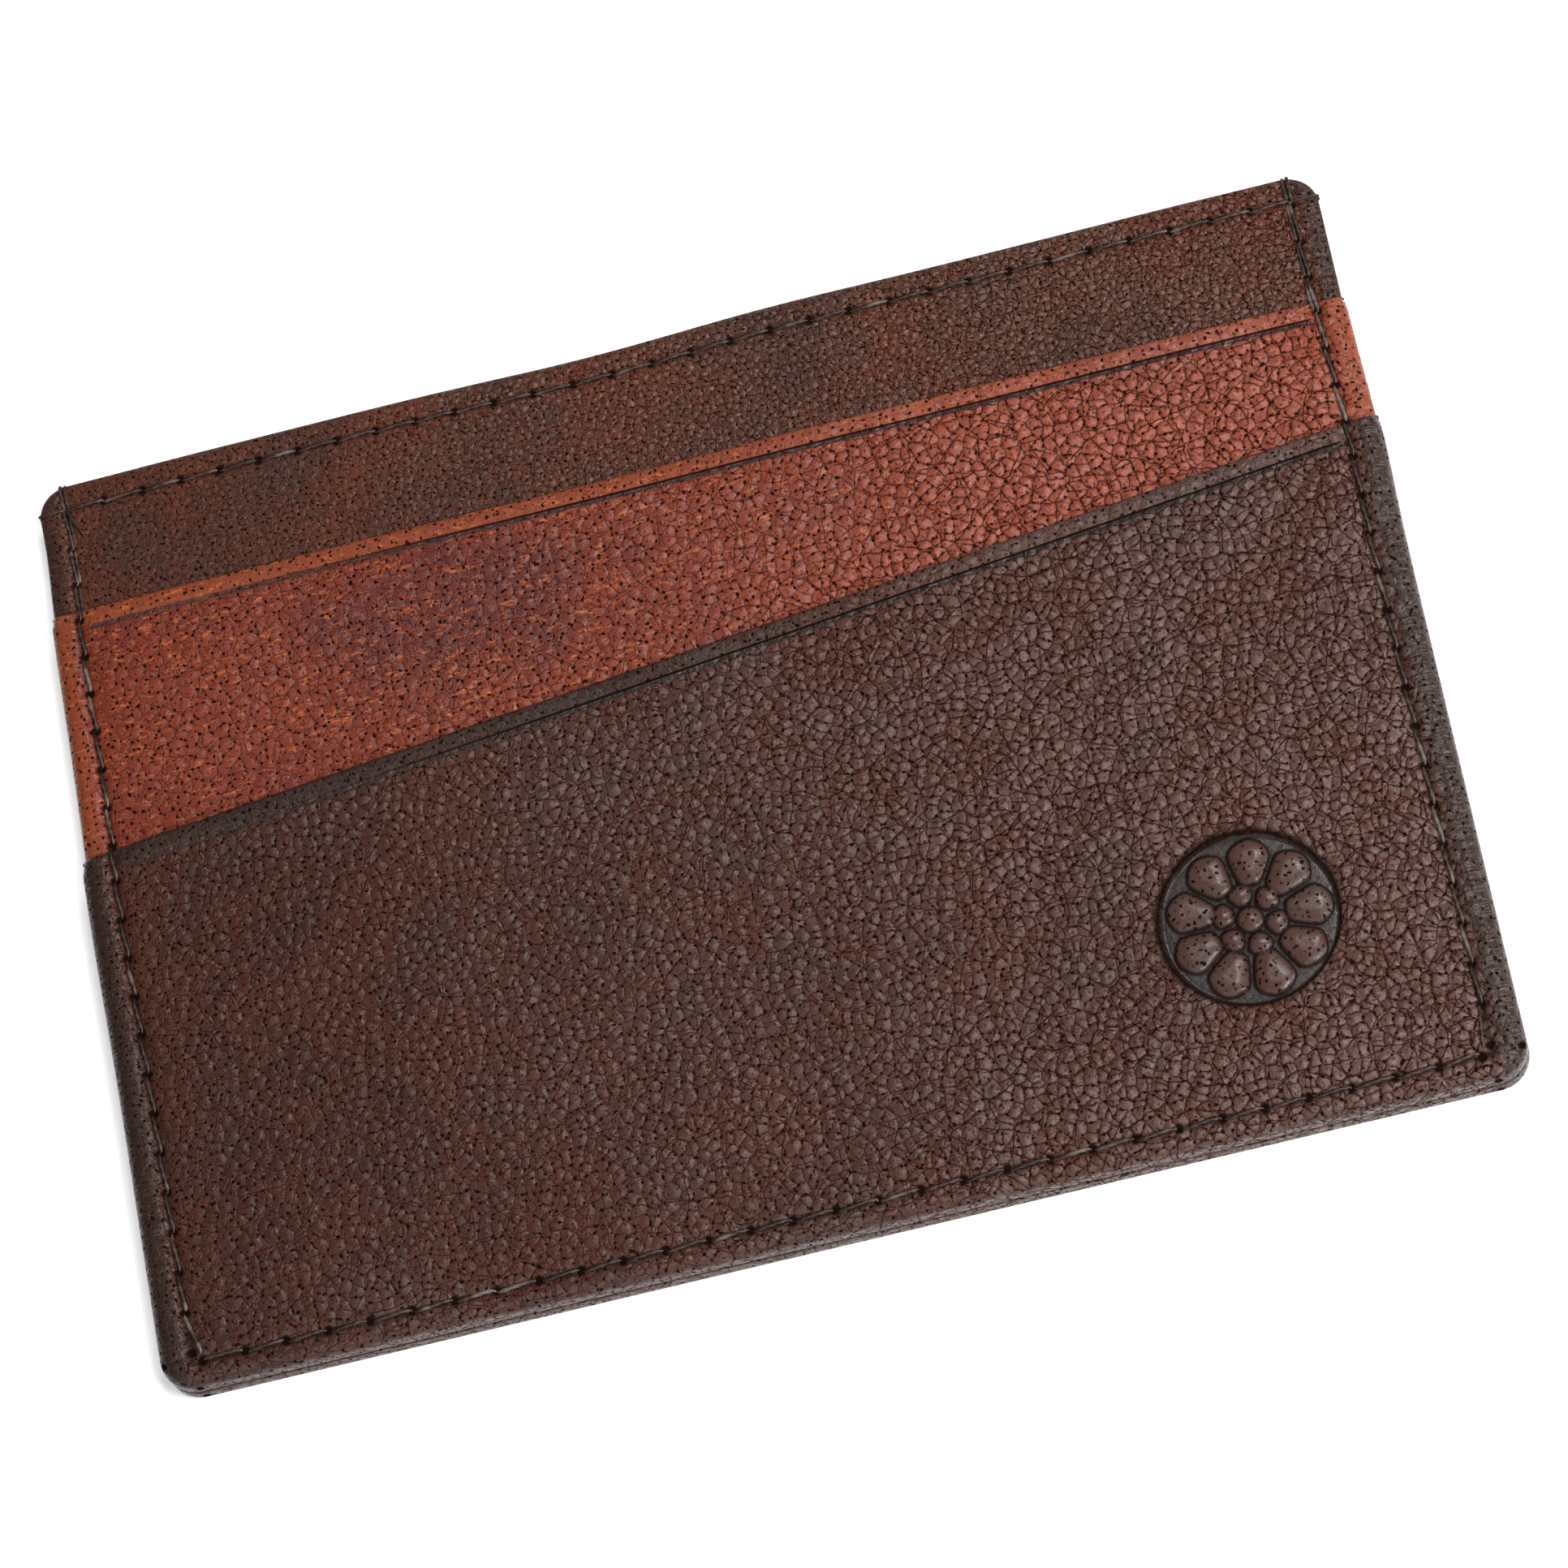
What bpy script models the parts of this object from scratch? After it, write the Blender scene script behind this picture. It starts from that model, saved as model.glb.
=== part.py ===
"""Slim leather card holder: two mirror-image pocket panels sewn together around three sides.

Each half is a main panel with a tan pocket and a dark brown pocket on its outside. The brown
pocket's mouth is slanted. Every leather layer is turned round the side edges over the layer
below it, so the layers nest in each other. Five pockets in all: two on each face and the
centre pocket between the halves, open at the top edge.

Frame: metres. The origin is the middle of the outer face that the card holder lies on,
+X along the width, +Y towards the pocket mouths, +Z out of the front face. The two halves
meet at the plane z = THICKNESS / 2. A "level" is a distance from that plane towards the
outside of a half, and a "side" is +1 for the front half and -1 for the back half.
"""
import math

import bmesh
import bpy

MM = 0.001

# Driving dimensions
WIDTH = 100.0 * MM
HEIGHT = 72.5 * MM
CORNER_RADIUS = 2.5 * MM
SEAM_GAP = 0.03 * MM            # from the middle plane to the first layer of a half
FILM = 0.02 * MM                # clearance between two layers that are glued or pressed together

BROWN_LEATHER = 0.43 * MM       # leather thicknesses on the pocket faces
TAN_LEATHER = 0.32 * MM
PANEL_LEATHER = 0.32 * MM
TURNED = 0.16 * MM              # leather thinned for turning
LINING = 0.08 * MM              # woven lining
BROWN_WALL = 0.22 * MM          # leather that goes round a side edge
INNER_WALL = 0.20 * MM
TOP_WALL = 0.32 * MM            # the panel's fold along the top edge

PANEL_ROLL = 0.30 * MM          # rounding of a face's edge, smaller for the inner layers
TAN_ROLL = 0.35 * MM
BROWN_ROLL = 0.60 * MM
LINING_INSET = 1.0 * MM         # from a pocket's edge to its lining

TURN_WIDTH = 6.0 * MM           # how far a turned side or bottom edge reaches inwards
TOP_HEM = 9.0 * MM              # the panel's hem at the centre pocket's mouth
MOUTH_HEM = 8.0 * MM            # the hem at each outer pocket's mouth

TAN_MOUTH = 25.5 * MM           # mouth heights above the middle of the wallet
BROWN_MOUTH = 10.35 * MM
BROWN_MOUTH_SLOPE = 0.10        # rise of the slanted mouth per unit of X
CREASE_DROP = 1.5 * MM          # crease line below a mouth
CREASE_WIDTH = 0.45 * MM
CREASE_DEPTH = 0.10 * MM

THREAD = 0.20 * MM              # sewing thread diameter
STITCH_X = 47.5 * MM            # side seam, from the middle of the wallet
STITCH_BOTTOM = 1.7 * MM        # bottom seam above the bottom edge
STITCH_TOP = 2.0 * MM           # hem seam below the top edge
STITCH_CORNER = 0.8 * MM

MARK_X = 33.0 * MM              # round blind-stamped field on the front
MARK_Y = -20.5 * MM
MARK_RADIUS = 6.4 * MM
MARK_DEPTH = 0.15 * MM

# Levels, from the middle plane outwards
BROWN_TURN = SEAM_GAP
TAN_TURN = BROWN_TURN + TURNED + FILM
PANEL_TURN = TAN_TURN + TURNED + FILM
PANEL_LINING = PANEL_TURN + TURNED + FILM
PANEL_INSIDE = PANEL_LINING + LINING + FILM
PANEL_FACE = PANEL_INSIDE + PANEL_LEATHER
TAN_HEM = PANEL_FACE + FILM
TAN_INSIDE = TAN_HEM + TURNED
TAN_FACE = TAN_INSIDE + TAN_LEATHER
BROWN_HEM = TAN_FACE + FILM
BROWN_INSIDE = BROWN_HEM + TURNED
BROWN_FACE = BROWN_INSIDE + BROWN_LEATHER
THICKNESS = 2 * BROWN_FACE

# Outlines
TOP = HEIGHT / 2
BOTTOM = -HEIGHT / 2
TAN_HALF_WIDTH = WIDTH / 2 - BROWN_WALL - FILM
PANEL_HALF_WIDTH = TAN_HALF_WIDTH - INNER_WALL - FILM
INNER_BOTTOM = BOTTOM + BROWN_WALL + FILM
INNER_CORNER = CORNER_RADIUS - BROWN_WALL - FILM
GROOVE_WIDTH = THREAD + 0.08 * MM
GROOVE_DEPTH = THREAD + 0.04 * MM
THREAD_SINK = GROOVE_DEPTH - THREAD / 2 - FILM
THREAD_LIFT = THREAD / 2 + FILM
STEP_RUN = 0.15 * MM            # half the length over which a thread climbs a pocket's mouth
MIDDLE_GAP = 0.05 * MM          # from the middle plane to the end of a thread
PAST = 1.0 * MM                 # how far a cutter runs past the face that it opens

LEATHER_BROWN = ("brown_leather", (0.055, 0.022, 0.014), 0.48, 0.0)
LEATHER_TAN = ("tan_leather", (0.27, 0.075, 0.026), 0.45, 0.0)
LINING_CLOTH = ("lining_cloth", (0.030, 0.020, 0.016), 0.85, 0.0)
THREAD_BROWN = ("brown_thread", (0.035, 0.018, 0.014), 0.60, 0.0)


def clear_scene():
    """Remove every object, so that the model starts from nothing."""
    for item in list(bpy.data.objects):
        bpy.data.objects.remove(item, do_unlink=True)


def finish_material(node_name, look):
    """A Principled material of the node's own, with a leather, cloth or thread finish."""
    name, colour, roughness, metallic = look
    material = bpy.data.materials.new(node_name + "." + name)
    material.use_nodes = True
    shader = material.node_tree.nodes["Principled BSDF"]
    shader.inputs["Base Color"].default_value = (*colour, 1.0)
    shader.inputs["Roughness"].default_value = roughness
    shader.inputs["Metallic"].default_value = metallic
    material.diffuse_color = (*colour, 1.0)
    return material


def height(side, level):
    """World z of a level in the front half (+1) or the back half (-1)."""
    return THICKNESS / 2 + side * level


def link(name, data, look=None):
    """Put mesh or curve data into the scene as an object, with a finish if it has one."""
    item = bpy.data.objects.new(name, data)
    bpy.context.scene.collection.objects.link(item)
    if look:
        data.materials.append(finish_material(name, look))
    return item


def arc(centre, radius, start, steps=5):
    """Points of a quarter turn, anticlockwise from the start angle in degrees."""
    turns = [math.radians(start + 90.0 * step / steps) for step in range(steps + 1)]
    return [(centre[0] + radius * math.cos(turn), centre[1] + radius * math.sin(turn)) for turn in turns]


def outline(half_width, bottom, mouth, slope=0.0, bottom_radius=0.0, top_radius=0.0):
    """Anticlockwise outline of a layer: round or square corners and a level or slanted mouth."""
    points = []
    if bottom_radius:
        points += arc((-half_width + bottom_radius, bottom + bottom_radius), bottom_radius, 180)
        points += arc((half_width - bottom_radius, bottom + bottom_radius), bottom_radius, 270)
    else:
        points += [(-half_width, bottom), (half_width, bottom)]
    if top_radius:
        points += arc((half_width - top_radius, mouth - top_radius), top_radius, 0)
        points += arc((-half_width + top_radius, mouth - top_radius), top_radius, 90)
    else:
        points += [(half_width, mouth + slope * half_width), (-half_width, mouth - slope * half_width)]
    return points


def loft(name, side, loops):
    """Closed solid through outlines with the same number of points, each at its own level."""
    mesh = bmesh.new()
    rings = [[mesh.verts.new((x, y, height(side, level))) for x, y in points] for points, level in loops]
    for lower, upper in zip(rings, rings[1:]):
        for index in range(len(lower)):
            after = (index + 1) % len(lower)
            mesh.faces.new((lower[index], lower[after], upper[after], upper[index]))
    mesh.faces.new(list(reversed(rings[0])))
    mesh.faces.new(rings[-1])
    if side < 0:
        bmesh.ops.reverse_faces(mesh, faces=mesh.faces)
    data = bpy.data.meshes.new(name)
    mesh.to_mesh(data)
    mesh.free()
    return data


def rounded_loops(shape, start, face, radius, steps=3):
    """Outlines that rise from a start level to a face whose edge is rounded off."""
    loops = [(shape(0.0), start)]
    for step in range(steps + 1):
        turn = math.radians(90.0 * step / steps)
        loops.append((shape(radius * (1 - math.cos(turn))), face - radius + radius * math.sin(turn)))
    return loops


def cut(body, name, data):
    """Take a cutter out of a body with an exact Boolean that stays on the body."""
    cutter = link(name, data)
    cutter.hide_render = True
    cutter.display_type = "WIRE"
    boolean = body.modifiers.new(name, "BOOLEAN")
    boolean.operation = "DIFFERENCE"
    boolean.solver = "EXACT"
    boolean.object = cutter


def ribbon(name, side, path, width, level_in, level_out):
    """Cutter of constant width along a path in XY, mitred at the path's corners."""
    left, right = [], []
    last = len(path) - 1
    for index, (x, y) in enumerate(path):
        before = path[max(index - 1, 0)]
        after = path[min(index + 1, last)]
        length = math.hypot(after[0] - before[0], after[1] - before[1])
        across = ((before[1] - after[1]) / length, (after[0] - before[0]) / length)
        left.append((x + across[0] * width / 2, y + across[1] * width / 2))
        right.append((x - across[0] * width / 2, y - across[1] * width / 2))
    points = right + list(reversed(left))
    return loft(name, side, [(points, level_in), (points, level_out)])


def thread(name, side, path):
    """Round sewing thread along points of (x, y, level)."""
    curve = bpy.data.curves.new(name, "CURVE")
    curve.dimensions = "3D"
    curve.bevel_depth = THREAD / 2
    curve.bevel_resolution = 2
    curve.use_fill_caps = True
    spline = curve.splines.new("POLY")
    spline.points.add(len(path) - 1)
    for point, (x, y, level) in zip(spline.points, path):
        point.co = (x, y, height(side, level), 1.0)
    return link(name, curve, THREAD_BROWN)


def mouth_crease(body, prefix, side, mouth, slope, face):
    """Heated crease line pressed into the leather below a pocket's mouth, seam to seam."""
    ends = [(x, mouth - CREASE_DROP + slope * x) for x in (-STITCH_X, STITCH_X)]
    data = ribbon(prefix + "_crease", side, ends, CREASE_WIDTH, face - CREASE_DEPTH, face + PAST)
    cut(body, prefix + "_crease_cutter", data)


def seam_path(left_top, right_top):
    """Stitch line from a height on the left side, down, along the bottom and up the right side."""
    low = BOTTOM + STITCH_BOTTOM
    path = [(-STITCH_X, left_top)]
    path += arc((-STITCH_X + STITCH_CORNER, low + STITCH_CORNER), STITCH_CORNER, 180, 3)
    path += arc((STITCH_X - STITCH_CORNER, low + STITCH_CORNER), STITCH_CORNER, 270, 3)
    path.append((STITCH_X, right_top))
    return path


def panel(name, side):
    """Main panel: turned at both sides and, with a deeper hem, along the top edge."""
    def shape(inset):
        return outline(PANEL_HALF_WIDTH - inset, INNER_BOTTOM, TOP - inset,
                       bottom_radius=INNER_CORNER, top_radius=CORNER_RADIUS - inset)

    loops = rounded_loops(shape, PANEL_TURN, PANEL_FACE, PANEL_ROLL)
    body = link(name, loft(name, side, loops), LEATHER_BROWN)
    pocket = outline(PANEL_HALF_WIDTH - INNER_WALL, INNER_BOTTOM - PAST, TOP - TOP_WALL,
                     top_radius=CORNER_RADIUS - TOP_WALL)
    cut(body, name + "_lining_room", loft(name, side, [(pocket, PANEL_TURN + TURNED), (pocket, PANEL_INSIDE)]))
    window = outline(PANEL_HALF_WIDTH - TURN_WIDTH, INNER_BOTTOM - 2 * PAST, TOP - TOP_HEM)
    window_top = PANEL_TURN + TURNED + FILM
    cut(body, name + "_window", loft(name, side, [(window, PANEL_TURN - PAST), (window, window_top)]))
    hem = [(-WIDTH / 2 - PAST, TOP - STITCH_TOP), (WIDTH / 2 + PAST, TOP - STITCH_TOP)]
    groove = ribbon(name, side, hem, GROOVE_WIDTH, PANEL_FACE - GROOVE_DEPTH, PANEL_FACE + PAST)
    cut(body, name + "_hem_groove", groove)
    for x, place in ((-STITCH_X, "left"), (STITCH_X, "right")):
        over = [(x, TOP - GROOVE_DEPTH), (x, TOP + PAST)]
        notch = ribbon(name, side, over, GROOVE_WIDTH, PANEL_TURN - PAST, PANEL_FACE + PAST)
        cut(body, name + "_notch_" + place, notch)


def tan_pocket(name, side):
    """Tan pocket: turned round the panel's sides, with a folded mouth parallel to the top edge."""
    def shape(inset):
        return outline(TAN_HALF_WIDTH - inset, INNER_BOTTOM, TAN_MOUTH - inset / 2,
                       bottom_radius=INNER_CORNER)

    body = link(name, loft(name, side, rounded_loops(shape, TAN_TURN, TAN_FACE, TAN_ROLL)), LEATHER_TAN)
    room = outline(TAN_HALF_WIDTH - INNER_WALL, INNER_BOTTOM - PAST, TAN_MOUTH + PAST)
    cut(body, name + "_panel_room", loft(name, side, [(room, TAN_TURN + TURNED), (room, TAN_HEM)]))
    pocket = outline(TAN_HALF_WIDTH - LINING_INSET, INNER_BOTTOM - 2 * PAST, TAN_MOUTH - MOUTH_HEM)
    cut(body, name + "_lining_room", loft(name, side, [(pocket, TAN_HEM - FILM), (pocket, TAN_INSIDE)]))
    window = outline(TAN_HALF_WIDTH - TURN_WIDTH, INNER_BOTTOM - 2 * PAST, TAN_MOUTH + 2 * PAST)
    window_top = TAN_TURN + TURNED + FILM
    cut(body, name + "_window", loft(name, side, [(window, TAN_TURN - PAST), (window, window_top)]))
    mouth_crease(body, name, side, TAN_MOUTH, 0.0, TAN_FACE)


def brown_pocket(name, side, marked):
    """Brown pocket: turned round the sides and the bottom, with a slanted, folded mouth."""
    def shape(inset):
        return outline(WIDTH / 2 - inset, BOTTOM + inset, BROWN_MOUTH - inset / 2,
                       BROWN_MOUTH_SLOPE, bottom_radius=CORNER_RADIUS - inset)

    loops = rounded_loops(shape, BROWN_TURN, BROWN_FACE, BROWN_ROLL)
    body = link(name, loft(name, side, loops), LEATHER_BROWN)
    room = outline(WIDTH / 2 - BROWN_WALL, BOTTOM + BROWN_WALL, BROWN_MOUTH + PAST, BROWN_MOUTH_SLOPE,
                   bottom_radius=CORNER_RADIUS - BROWN_WALL)
    cut(body, name + "_inner_room", loft(name, side, [(room, BROWN_TURN + TURNED), (room, BROWN_HEM)]))
    pocket = outline(WIDTH / 2 - LINING_INSET, BOTTOM + LINING_INSET, BROWN_MOUTH - MOUTH_HEM,
                     BROWN_MOUTH_SLOPE)
    cut(body, name + "_lining_room", loft(name, side, [(pocket, BROWN_HEM - FILM), (pocket, BROWN_INSIDE)]))
    window = outline(WIDTH / 2 - TURN_WIDTH, BOTTOM + TURN_WIDTH, BROWN_MOUTH + 2 * PAST, BROWN_MOUTH_SLOPE)
    window_top = BROWN_TURN + TURNED + FILM
    cut(body, name + "_window", loft(name, side, [(window, BROWN_TURN - PAST), (window, window_top)]))
    mouth_crease(body, name, side, BROWN_MOUTH, BROWN_MOUTH_SLOPE, BROWN_FACE)
    above_mouth = [BROWN_MOUTH + BROWN_MOUTH_SLOPE * x + PAST for x in (-STITCH_X, STITCH_X)]
    groove = ribbon(name, side, seam_path(*above_mouth), GROOVE_WIDTH, BROWN_FACE - GROOVE_DEPTH,
                    BROWN_FACE + PAST)
    cut(body, name + "_seam_groove", groove)
    if marked:
        centre = (MARK_X, MARK_Y)
        rim = [point for start in (0, 90, 180, 270) for point in arc(centre, MARK_RADIUS, start, 8)[:-1]]
        field = loft(name, side, [(rim, BROWN_FACE - MARK_DEPTH), (rim, BROWN_FACE + PAST)])
        cut(body, name + "_stamped_field", field)


def lining(name, side, shape, level):
    """Woven lining: a flat sheet between two leather layers."""
    link(name, loft(name, side, [(shape, level), (shape, level + LINING)]), LINING_CLOTH)


def linings(half, side):
    """The three linings of a half: centre pocket, tan pocket and brown pocket."""
    middle = outline(PANEL_HALF_WIDTH - INNER_WALL - FILM, INNER_BOTTOM, TOP - TOP_WALL - FILM,
                     bottom_radius=INNER_CORNER, top_radius=CORNER_RADIUS - TOP_WALL - FILM)
    lining(half + "_panel_lining", side, middle, PANEL_LINING)
    centred = (TURNED - LINING) / 2
    in_tan = outline(TAN_HALF_WIDTH - LINING_INSET - FILM, INNER_BOTTOM, TAN_MOUTH - MOUTH_HEM - FILM,
                     bottom_radius=INNER_CORNER)
    lining(half + "_tan_pocket_lining", side, in_tan, TAN_HEM + centred)
    in_brown = outline(WIDTH / 2 - LINING_INSET - FILM, BOTTOM + LINING_INSET + FILM,
                       BROWN_MOUTH - MOUTH_HEM - FILM, BROWN_MOUTH_SLOPE)
    lining(half + "_brown_pocket_lining", side, in_brown, BROWN_HEM + centred)


def hem_threads(half, side):
    """The two threads of the top hem: one outside and round the side edges, one inside the mouth."""
    y = TOP - STITCH_TOP
    beside = PANEL_HALF_WIDTH + THREAD_LIFT
    sunk = PANEL_FACE - THREAD_SINK
    outside = [(-beside, y, PANEL_TURN), (-beside, y, sunk), (beside, y, sunk), (beside, y, PANEL_TURN)]
    thread(half + "_hem_thread", side, outside)
    inside = PANEL_TURN - THREAD_LIFT
    thread(half + "_hem_inner_thread", side, [(-STITCH_X, y, inside), (STITCH_X, y, inside)])


def seam_thread(half, side):
    """Perimeter thread of one face: over the top edge, down, along the bottom and back up."""
    on_panel = PANEL_FACE + THREAD_LIFT
    on_tan = TAN_FACE + THREAD_LIFT
    in_brown = BROWN_FACE - THREAD_SINK
    over_top = TOP - GROOVE_DEPTH / 2
    flat = seam_path(0.0, 0.0)
    left = [(-STITCH_X, over_top, MIDDLE_GAP), (-STITCH_X, over_top, on_panel)]
    left += [(-STITCH_X, TAN_MOUTH + 2 * STEP_RUN, on_panel), (-STITCH_X, TAN_MOUTH + STEP_RUN, on_tan)]
    lip = BROWN_MOUTH - BROWN_MOUTH_SLOPE * STITCH_X
    left += [(-STITCH_X, lip + 2 * STEP_RUN, on_tan), (-STITCH_X, lip + STEP_RUN, in_brown)]
    right = [(-x, y, level) for x, y, level in reversed(left)]
    rise = 2 * BROWN_MOUTH_SLOPE * STITCH_X
    right[0] = (STITCH_X, lip + rise + STEP_RUN, in_brown)
    right[1] = (STITCH_X, lip + rise + 2 * STEP_RUN, on_tan)
    thread(half + "_seam_thread", side, left + [(x, y, in_brown) for x, y in flat[1:-1]] + right)


def half_of_wallet(half, side, marked):
    """One face of the card holder: panel, two pockets, their linings and the threads."""
    panel(half + "_panel", side)
    tan_pocket(half + "_tan_pocket", side)
    brown_pocket(half + "_brown_pocket", side, marked)
    linings(half, side)
    hem_threads(half, side)
    seam_thread(half, side)


clear_scene()
half_of_wallet("front", 1, marked=True)
half_of_wallet("back", -1, marked=False)
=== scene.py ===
import math

import bpy
import numpy as np
from mathutils import Matrix, Vector


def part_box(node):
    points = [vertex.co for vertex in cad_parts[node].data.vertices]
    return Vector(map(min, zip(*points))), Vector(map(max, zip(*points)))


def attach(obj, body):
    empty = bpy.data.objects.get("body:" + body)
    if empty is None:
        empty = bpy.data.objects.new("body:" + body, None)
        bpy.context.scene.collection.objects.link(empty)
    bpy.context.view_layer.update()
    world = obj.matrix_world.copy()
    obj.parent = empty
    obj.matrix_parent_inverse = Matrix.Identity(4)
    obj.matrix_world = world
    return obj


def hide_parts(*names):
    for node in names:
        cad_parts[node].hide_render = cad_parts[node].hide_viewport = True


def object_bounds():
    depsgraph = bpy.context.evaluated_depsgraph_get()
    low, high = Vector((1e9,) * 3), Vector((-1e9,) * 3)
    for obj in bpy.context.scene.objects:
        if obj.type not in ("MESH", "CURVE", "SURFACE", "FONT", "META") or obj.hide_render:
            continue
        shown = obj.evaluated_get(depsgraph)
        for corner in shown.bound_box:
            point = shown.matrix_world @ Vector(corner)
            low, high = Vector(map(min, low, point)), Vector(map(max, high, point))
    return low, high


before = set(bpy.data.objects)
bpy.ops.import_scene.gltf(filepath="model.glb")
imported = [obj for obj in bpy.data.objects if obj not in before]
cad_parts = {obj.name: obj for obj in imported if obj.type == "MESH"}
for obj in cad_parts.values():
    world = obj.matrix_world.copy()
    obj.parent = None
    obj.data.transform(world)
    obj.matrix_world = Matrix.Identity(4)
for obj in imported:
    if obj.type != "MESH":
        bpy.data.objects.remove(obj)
cad_low, cad_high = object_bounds()
MM = 0.001

# ---------------------------------------------------------------------------------------------
# The stage: the card holder lies on its back on a white table. The key softbox stands beyond its
# top edge, two small ones at its right give sparkle and sheen, and a broad one fills the shadows.
# A short telephoto looks down on it.
# ---------------------------------------------------------------------------------------------
VIEW_TARGET = Vector((2.05, -1.17, 2.0)) * MM
VIEW_AZIMUTH, VIEW_ELEVATION, VIEW_ROLL = math.radians(15.84), math.radians(66.79), math.radians(-28.36)
VIEW_DISTANCE = 490 * MM
VIEW_LENS = 154.66
TABLE_REACH = 3.0

table = bpy.data.meshes.new("table")
table_corners = [(x * TABLE_REACH, y * TABLE_REACH, 0) for x, y in ((-1, -1), (1, -1), (1, 1), (-1, 1))]
table.from_pydata(table_corners, [], [(0, 1, 2, 3)])
table_top = bpy.data.objects.new("table_top", table)
bpy.context.scene.collection.objects.link(table_top)

lens = bpy.data.cameras.new("camera")
lens.lens = VIEW_LENS
lens.sensor_width = 36
camera = bpy.data.objects.new("camera", lens)
away = Vector((math.sin(VIEW_AZIMUTH) * math.cos(VIEW_ELEVATION),
               -math.cos(VIEW_AZIMUTH) * math.cos(VIEW_ELEVATION), math.sin(VIEW_ELEVATION)))
aim = (-away).to_track_quat("-Z", "Y").to_matrix().to_4x4()
roll = Matrix.Rotation(VIEW_ROLL, 4, "Z")
camera.matrix_world = Matrix.Translation(VIEW_TARGET + away * VIEW_DISTANCE) @ aim @ roll
bpy.context.scene.collection.objects.link(camera)
bpy.context.scene.camera = camera
bpy.context.scene.view_settings.view_transform = "Standard"


def softbox(name, place, size, watts):
    """A square area light, placed and sized in metres and turned towards the card holder."""
    light = bpy.data.lights.new(name, "AREA")
    light.size = size
    light.energy = watts
    lamp = bpy.data.objects.new(name, light)
    lamp.location = place
    lamp.rotation_euler = (-Vector(place)).to_track_quat("-Z", "Y").to_euler()
    bpy.context.scene.collection.objects.link(lamp)


softbox("key_softbox", (0.26, 0.38, 0.95), 0.3, 5.5)
softbox("spark_softbox", (0.42, -0.32, 0.86), 0.22, 6.5)
softbox("side_softbox", (0.85, -0.20, 0.50), 0.35, 8.0)
softbox("fill_softbox", (-0.25, -0.80, 0.80), 0.9, 6.5)
room = bpy.data.worlds.new("room")
bpy.context.scene.world = room
room.use_nodes = True
room_light = room.node_tree.nodes["Background"]
room_light.inputs["Color"].default_value = (1.0, 1.0, 1.0, 1)
room_light.inputs["Strength"].default_value = 0.15


class Value:
    """A node's output in a material: a sum, a product and so on of it adds a Math node."""

    def __init__(self, finish, socket):
        self.finish, self.socket = finish, socket

    def math(self, operation, first, second):
        return self.finish.math(operation, first, second)

    def __add__(self, other):
        return self.math("ADD", self, other)

    def __sub__(self, other):
        return self.math("SUBTRACT", self, other)

    def __rsub__(self, other):
        return self.math("SUBTRACT", other, self)

    def __mul__(self, other):
        return self.math("MULTIPLY", self, other)

    def __truediv__(self, other):
        return self.math("DIVIDE", self, other)

    def __rtruediv__(self, other):
        return self.math("DIVIDE", other, self)

    __radd__, __rmul__ = __add__, __mul__


class Finish:
    """A material on a Principled shader, with one method that adds any other node."""

    def __init__(self, name, **constants):
        self.material = bpy.data.materials.new(name)
        self.material.use_nodes = True
        self.shader = self.material.node_tree.nodes["Principled BSDF"]
        for socket, value in constants.items():
            self.shader.inputs[socket.replace("_", " ")].default_value = value

    def join(self, source, socket):
        if isinstance(source, Value):
            self.material.node_tree.links.new(source.socket, socket)
        else:
            socket.default_value = source

    def node(self, kind, settings=None, sockets=None, output=0):
        made = self.material.node_tree.nodes.new(kind)
        for name, value in (settings or {}).items():
            setattr(made, name, value)
        for name, value in (sockets or {}).items():
            self.join(value, made.inputs[name])
        return Value(self, made.outputs[output])

    def math(self, operation, first, second=0.0):
        return self.node("ShaderNodeMath", {"operation": operation}, {0: first, 1: second})

    def smooth(self, value, start, stop, low=0.0, high=1.0):
        """Smooth step of a value from start to stop."""
        return self.node("ShaderNodeMapRange", {"interpolation_type": "SMOOTHSTEP"},
                         {"Value": value, "From Min": start, "From Max": stop, "To Min": low, "To Max": high})

    def largest(self, first, *others):
        for other in others:
            first = self.math("MAXIMUM", first, other)
        return first

    def parts(self, vector):
        """The three numbers of a vector."""
        return [self.node("ShaderNodeSeparateXYZ", {}, {0: vector}, axis) for axis in range(3)]

    def mix(self, factor, first, second):
        """Mix of two colours."""
        return self.node("ShaderNodeMix", {"data_type": "RGBA", "clamp_factor": True},
                         {0: factor, 6: first, 7: second}, output=2)

    def noise(self, place, scale, detail=2.0, roughness=0.5, stretch=(1, 1, 1), shift=(0, 0, 0)):
        """Noise value around 0.5, with a size per millimetre."""
        where = self.node("ShaderNodeVectorMath", {"operation": "MULTIPLY_ADD"},
                          {0: place, 1: stretch, 2: shift})
        return self.node("ShaderNodeTexNoise", {},
                         {"Vector": where, "Scale": scale, "Detail": detail, "Roughness": roughness})

    def paint(self, **sources):
        for socket, source in sources.items():
            self.join(source, self.shader.inputs[socket.replace("_", " ")])

    def shade(self, share, colour):
        """Puts a matt colour in place of the finish by a share, as in pits that light doesn't reach."""
        matt = self.node("ShaderNodeBsdfPrincipled", {},
                         {"Base Color": colour, "Roughness": 1.0, "Specular IOR Level": 0.0})
        finish = Value(self, self.shader.outputs[0])
        both = self.node("ShaderNodeMixShader", {}, {0: share, 1: finish, 2: matt})
        self.join(both, self.material.node_tree.nodes["Material Output"].inputs["Surface"])


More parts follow.
